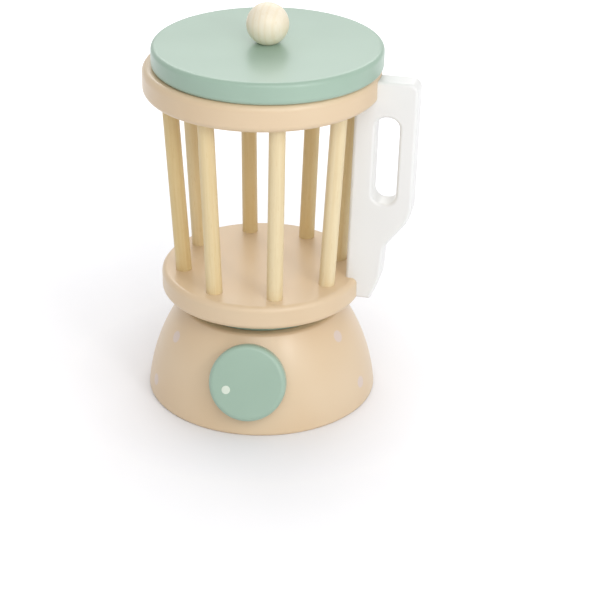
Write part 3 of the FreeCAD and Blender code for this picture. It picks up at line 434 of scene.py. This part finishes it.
def cross_drive_screws():
    """Countersunk wood screws on a ring, heads down: a cone head with a cross recess, a plain shank
    and a point. Each is driven home at its own angle."""
    tree, size = new_tree("countersunk screws", {
        "Screws": "Int", "Ring": "Float", "Level": "Float", "Turn": "Float", "Head Radius": "Float",
        "Shank Radius": "Float", "Length": "Float", "Recess Width": "Float",
        "Recess Depth": "Float", "Seed": "Int", "Finish": "Material"})
    head = add(tree, "ShaderNodeMath", {0: size["Head Radius"], 1: size["Shank Radius"]},
               operation="SUBTRACT").outputs[0]
    point = add(tree, "ShaderNodeMath", {0: size["Shank Radius"], 1: SCREW_POINT},
                operation="MULTIPLY").outputs[0]
    blunt = add(tree, "ShaderNodeMath", {0: size["Shank Radius"], 1: SCREW_BLUNT},
                operation="MULTIPLY").outputs[0]
    point_start = add(tree, "ShaderNodeMath", {0: size["Length"], 1: point},
                      operation="SUBTRACT").outputs[0]
    # the shank starts half way up the head, inside it
    shank_start = add(tree, "ShaderNodeMath", {0: head, 1: 0.5}, operation="MULTIPLY").outputs[0]
    shank = add(tree, "ShaderNodeMath", {0: point_start, 1: shank_start},
                operation="SUBTRACT").outputs[0]
    body = add(tree, "GeometryNodeMeshBoolean", operation="UNION", solver="EXACT")
    for radius, end_radius, depth, start in (
            (size["Head Radius"], size["Shank Radius"], head, 0.0),
            (size["Shank Radius"], size["Shank Radius"], shank, shank_start),
            (size["Shank Radius"], blunt, point, point_start)):
        solid = add(tree, "GeometryNodeMeshCone", {"Vertices": 32, "Radius Bottom": radius,
                                                   "Radius Top": end_radius, "Depth": depth})
        rise = add(tree, "ShaderNodeCombineXYZ", {"Z": start})
        placed = add(tree, "GeometryNodeTransform", {"Geometry": solid.outputs["Mesh"],
                                                     "Translation": rise.outputs["Vector"]})
        tree.links.new(placed.outputs["Geometry"], body.inputs["Mesh 2"])
    # two blades that cross, each half in the head and half out of it
    narrow = add(tree, "ShaderNodeMath", {0: size["Recess Width"], 1: RECESS_BLADE},
                 operation="MULTIPLY").outputs[0]
    deep = add(tree, "ShaderNodeMath", {0: size["Recess Depth"], 1: 2},
               operation="MULTIPLY").outputs[0]
    recess = add(tree, "GeometryNodeMeshBoolean", operation="UNION", solver="EXACT")
    for x, y in ((size["Recess Width"], narrow), (narrow, size["Recess Width"])):
        blade = add(tree, "ShaderNodeCombineXYZ", {"X": x, "Y": y, "Z": deep})
        solid = add(tree, "GeometryNodeMeshCube", {"Size": blade.outputs["Vector"]})
        tree.links.new(solid.outputs["Mesh"], recess.inputs["Mesh 2"])
    screw = add(tree, "GeometryNodeMeshBoolean",
                {"Mesh 1": body.outputs["Mesh"], "Mesh 2": recess.outputs["Mesh"]},
                operation="DIFFERENCE", solver="EXACT")

    angle = ring_angle(tree, size["Screws"], size["Turn"], 0.0)
    out = add(tree, "ShaderNodeCombineXYZ", {"X": size["Ring"], "Z": size["Level"]})
    stand = add(tree, "ShaderNodeVectorRotate", {"Vector": out.outputs["Vector"], "Angle": angle},
                rotation_type="Z_AXIS")
    ring = add(tree, "GeometryNodePoints", {"Count": size["Screws"],
                                            "Position": stand.outputs["Vector"]})
    driven = add(tree, "FunctionNodeRandomValue", {2: 0.0, 3: math.pi, 8: size["Seed"]},
                 data_type="FLOAT")
    turned = add(tree, "ShaderNodeCombineXYZ", {"Z": driven.outputs[1]})
    screws = add(tree, "GeometryNodeInstanceOnPoints",
                 {"Points": ring.outputs["Points"], "Instance": screw.outputs["Mesh"],
                  "Rotation": turned.outputs["Vector"]})
    real = add(tree, "GeometryNodeRealizeInstances", {"Geometry": screws.outputs["Instances"]})
    finished = add(tree, "GeometryNodeSetMaterial", {"Geometry": real.outputs["Geometry"],
                                                     "Material": size["Finish"]})
    add(tree, "NodeGroupOutput", {"Geometry": finished.outputs["Geometry"]})
    return tree


def make_jar_bars():
    """The eight bars of the jar. The seed sets which of them are warm and which pale; it is one
    that makes the bars on the shaded left warm and dark and those on the lit right pale, which
    paints part of their shade and shine.
    """
    sizes = {"Bars": 8, "Foot Ring": 42.5 * MM, "Head Ring": 48.5 * MM, "Foot Height": 72 * MM,
             "Head Height": 172 * MM, "Bar Radius": 4.25 * MM, "Foot Socket": 7 * MM,
             "Head Socket": 8 * MM, "Turn": JAR_TURN, "Seed": 82, "Finish": bar_birch}
    grow("jar_bars", leaning_bars(), sizes, "jar", "natural_wood",
         *(f"bar_{k}" for k in range(1, 9)))


def make_screws():
    """The four screws of the bottom plate, and the long one through plug and lid into the ball."""
    tree = cross_drive_screws()
    plate = {"Screws": 4, "Ring": 45.5 * MM, "Level": 0.0, "Turn": math.radians(45),
             "Head Radius": 3 * MM, "Shank Radius": 1.5 * MM, "Length": 16 * MM,
             "Recess Width": 3.2 * MM, "Recess Depth": 1.3 * MM, "Seed": 3, "Finish": zinc}
    grow("plate_cross_screws", tree, plate, "base", "zinc_steel", "plate_screws")
    knob = {**plate, "Screws": 1, "Ring": LID_SLIP, "Level": 178.5 * MM, "Turn": LID_SLIP_TURN,
            "Head Radius": 4 * MM, "Shank Radius": 2 * MM, "Length": 31.5 * MM,
            "Recess Width": 4.4 * MM, "Recess Depth": 1.6 * MM}
    grow("knob_cross_screw", tree, knob, "lid", "zinc_steel", "knob_screw")


# ---------------------------------------------------------------- turned pieces

def turned_piece(name, outline, segments, place):
    """A closed lathe piece: the outline is radius and height in metres, from pole to pole."""
    mesh = bpy.data.meshes.new(name)
    shape = bmesh.new()
    ring = [shape.verts.new((radius, 0, height)) for radius, height in outline]
    for first, second in zip(ring, ring[1:]):
        shape.edges.new((first, second))
    bmesh.ops.spin(shape, geom=shape.verts[:] + shape.edges[:], axis=(0, 0, 1), cent=(0, 0, 0),
                   angle=math.tau, steps=segments, use_merge=True)
    bmesh.ops.remove_doubles(shape, verts=shape.verts[:], dist=0.001 * MM)
    bmesh.ops.recalc_face_normals(shape, faces=shape.faces[:])
    shape.transform(place)
    shape.to_mesh(mesh)
    shape.free()
    piece = bpy.data.objects.new(name, mesh)
    bpy.context.scene.collection.objects.link(piece)
    return piece


def arc(centre, radius, start, end, steps):
    """Points of an arc, by angle in degrees from the radius axis."""
    angles = [math.radians(start + (end - start) * k / steps) for k in range(steps + 1)]
    return [(centre[0] + radius * math.cos(a), centre[1] + radius * math.sin(a)) for a in angles]


def make_dial_dot():
    """A pad-printed dot, left of the dial's middle and a little low, with a soft raised edge."""
    radius, thick, edge = 2.25 * MM, 0.15 * MM, 0.1 * MM
    rounding = arc((radius - edge, thick - edge), edge, 0, 90, 4)
    outline = [(0, 0), (radius, 0)] + rounding + [(0, thick)]
    turn = DIAL_AXIS.to_track_quat("Z", "Y").to_matrix().to_4x4()
    face_up = Vector((0, DIAL_AXIS.z, -DIAL_AXIS.y))
    reach, low = 11.6 * MM, math.radians(20.5)
    centre = (DIAL_CENTRE + DIAL_AXIS * DIAL_FACE - Vector((1, 0, 0)) * reach * math.cos(low)
              - face_up * reach * math.sin(low))
    dot = turned_piece("dial_dot", outline, 32, Matrix.Translation(centre) @ turn)
    dot.data.materials.append(dot_ink)
    smooth_by_angle(dot)
    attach(dot, "dial")


def make_pivot_bolt():
    """The bolt that the turntable turns on, with a hexagon socket in its rounded head."""
    top, end, chamfer = 58.5 * MM, 33.8 * MM, 0.6 * MM
    head, height, edge, shank = 5 * MM, 3 * MM, 1 * MM, 2.5 * MM
    rounding = arc((head - edge, top - edge), edge, 0, 90, 6)
    outline = [(0, end), (shank - chamfer, end), (shank, end + chamfer), (shank, top - height),
               (head, top - height)] + rounding + [(0, top)]
    bolt = turned_piece("pivot_socket_bolt", outline, 48, Matrix.Identity(4))
    bolt.data.materials.append(zinc)
    # the socket's corners are turned clear of the head's own edges
    across_flats, deep, above, turn = 3 * MM, 1.8 * MM, 1 * MM, math.radians(4)
    corner = across_flats / math.sqrt(3)
    prism = turned_piece("hexagon", [(0, top - deep), (corner, top - deep), (corner, top + above),
                                     (0, top + above)], 6, Matrix.Rotation(turn, 4, "Z"))
    cut = bolt.modifiers.new("socket", "BOOLEAN")
    cut.object, cut.operation, cut.solver = prism, "DIFFERENCE", "EXACT"
    graph = bpy.context.evaluated_depsgraph_get()
    made = bpy.data.meshes.new_from_object(bolt.evaluated_get(graph), depsgraph=graph)
    bolt.modifiers.remove(cut)
    bolt.data = made
    bpy.data.objects.remove(prism)
    smooth_by_angle(bolt)
    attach(bolt, "base")
    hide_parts("pivot_bolt")


# ---------------------------------------------------------------- camera

CAMERA_PLACE = Vector((0.11443, -0.90578, 0.51801))
CAMERA_AIM = Vector((0.02069, 0.00261, 0.05215))
CAMERA_LENS = 112.308
CAMERA_ROLL = math.radians(0.665)
SENSOR_WIDTH = 36


def make_camera():
    """A long lens in front of the toy and above it, a little to the right."""
    data = bpy.data.cameras.new("camera")
    data.lens = CAMERA_LENS
    data.sensor_width = SENSOR_WIDTH
    camera = bpy.data.objects.new("camera", data)
    bpy.context.scene.collection.objects.link(camera)
    turn = (CAMERA_AIM - CAMERA_PLACE).to_track_quat("-Z", "Y").to_matrix()
    turn = turn @ Matrix.Rotation(CAMERA_ROLL, 3, "Z")
    camera.matrix_world = Matrix.Translation(CAMERA_PLACE) @ turn.to_4x4()
    bpy.context.scene.camera = camera


# ---------------------------------------------------------------- studio

# the white surroundings: how much they light the toy, and how bright they are themselves
AMBIENT = 0.6
BACKDROP = 1.0

LAMP_AIM = Vector((0, 0, 0.1))

FLOOR_RADIUS = 4
# the paper's glow: from which and up to which distance off the middle it grows, and by how much;
# with no glow near the part, the floor there is painted darker, a painted shadow around its foot
GLOW_STEPS_AND_PAINTED_SHADOW = ((60 * MM, 110 * MM, 0.13), (110 * MM, 800 * MM, 0.45))


def add_lamp(name, azimuth, elevation, distance, size, power):
    """A soft box aimed at the jar, with angles in degrees and the power in watts. Azimuth 0 is in
    front of the dial, positive to the right."""
    data = bpy.data.lights.new(name, "AREA")
    data.shape = "RECTANGLE"
    data.size, data.size_y = size
    data.energy = power
    lamp = bpy.data.objects.new(name, data)
    bpy.context.scene.collection.objects.link(lamp)
    a, e = math.radians(azimuth), math.radians(elevation)
    away = Vector((math.sin(a) * math.cos(e), -math.cos(a) * math.cos(e), math.sin(e)))
    lamp.location = LAMP_AIM + away * distance
    lamp.rotation_euler = away.to_track_quat("Z", "Y").to_euler()


def seen_directly(tree):
    """1 for the rays that show a thing itself, straight or in a shine or through glass, else 0."""
    rays = add(tree, "ShaderNodeLightPath")
    direct = add(tree, "ShaderNodeMath", {0: rays.outputs["Is Camera Ray"],
                                          1: rays.outputs["Is Glossy Ray"]}, operation="MAXIMUM")
    return add(tree, "ShaderNodeMath",
               {0: direct.outputs[0], 1: rays.outputs["Is Transmission Ray"]},
               operation="MAXIMUM").outputs[0]


def make_surroundings():
    """White all round, brighter to look at than the light that it gives."""
    world = bpy.data.worlds.new("studio")
    world.use_nodes = True
    tree = world.node_tree
    tree.nodes.clear()
    strength = add(tree, "ShaderNodeMapRange", {"Value": seen_directly(tree), "To Min": AMBIENT,
                                                "To Max": BACKDROP})
    light = add(tree, "ShaderNodeBackground", {"Color": colour("ffffff"),
                                               "Strength": strength.outputs["Result"]})
    add(tree, "ShaderNodeOutputWorld", {"Surface": light.outputs["Background"]})
    bpy.context.scene.world = world


def make_lamps():
    """A small box for the shine on the base and a broad one for most of the light, so that the lid
    and the rim keep their colour from behind too; then one from the front and one from behind."""
    add_lamp("key soft box", 41, 29, 1.1, (0.2, 0.2), 1.35)
    add_lamp("broad soft box", 41, 30, 1.1, (1.0, 1.0), 3.45)
    add_lamp("front soft box", 5, 40, 1.2, (0.6, 0.4), 2.2)
    add_lamp("back soft box", 187, 40, 1.2, (1.2, 0.5), 5.4)


def make_floor():
    """White paper that glows up to the backdrop's white away from the part; near the part's foot
    the glow is left out, which paints a shadow there on top of the real one.
    """
    bpy.ops.mesh.primitive_circle_add(vertices=96, radius=FLOOR_RADIUS, fill_type="NGON")
    floor = bpy.context.object
    floor.name = "studio_floor"
    material, tree = new_material("white studio floor")
    paper = add(tree, "ShaderNodeBsdfDiffuse", {"Color": colour("f0f0f3")})
    place = add(tree, "ShaderNodeTexCoord").outputs["Object"]
    away = add(tree, "ShaderNodeVectorMath", {0: place}, operation="LENGTH").outputs["Value"]
    # no glow within the first distance and less up to the second: painted shadow around the part's
    # foot
    near, far = (add(tree, "ShaderNodeMapRange", {"Value": away, "From Min": start, "From Max": end,
                                                  "To Max": most}).outputs["Result"]
                 for start, end, most in GLOW_STEPS_AND_PAINTED_SHADOW)
    white = add(tree, "ShaderNodeMath", {0: near, 1: far}, operation="ADD")
    lift = add(tree, "ShaderNodeMath", {0: seen_directly(tree), 1: white.outputs[0]},
               operation="MULTIPLY")
    glow = add(tree, "ShaderNodeEmission", {"Color": colour("ffffff"), "Strength": lift.outputs[0]})
    both = add(tree, "ShaderNodeAddShader", {0: paper.outputs["BSDF"], 1: glow.outputs["Emission"]})
    add(tree, "ShaderNodeOutputMaterial", {"Surface": both.outputs["Shader"]})
    floor.data.materials.append(material)


dress_nodes()
make_jar_bars()
make_screws()
make_dial_dot()
make_pivot_bolt()
make_camera()
make_surroundings()
make_lamps()
make_floor()
bpy.context.scene.view_settings.view_transform = "Standard"
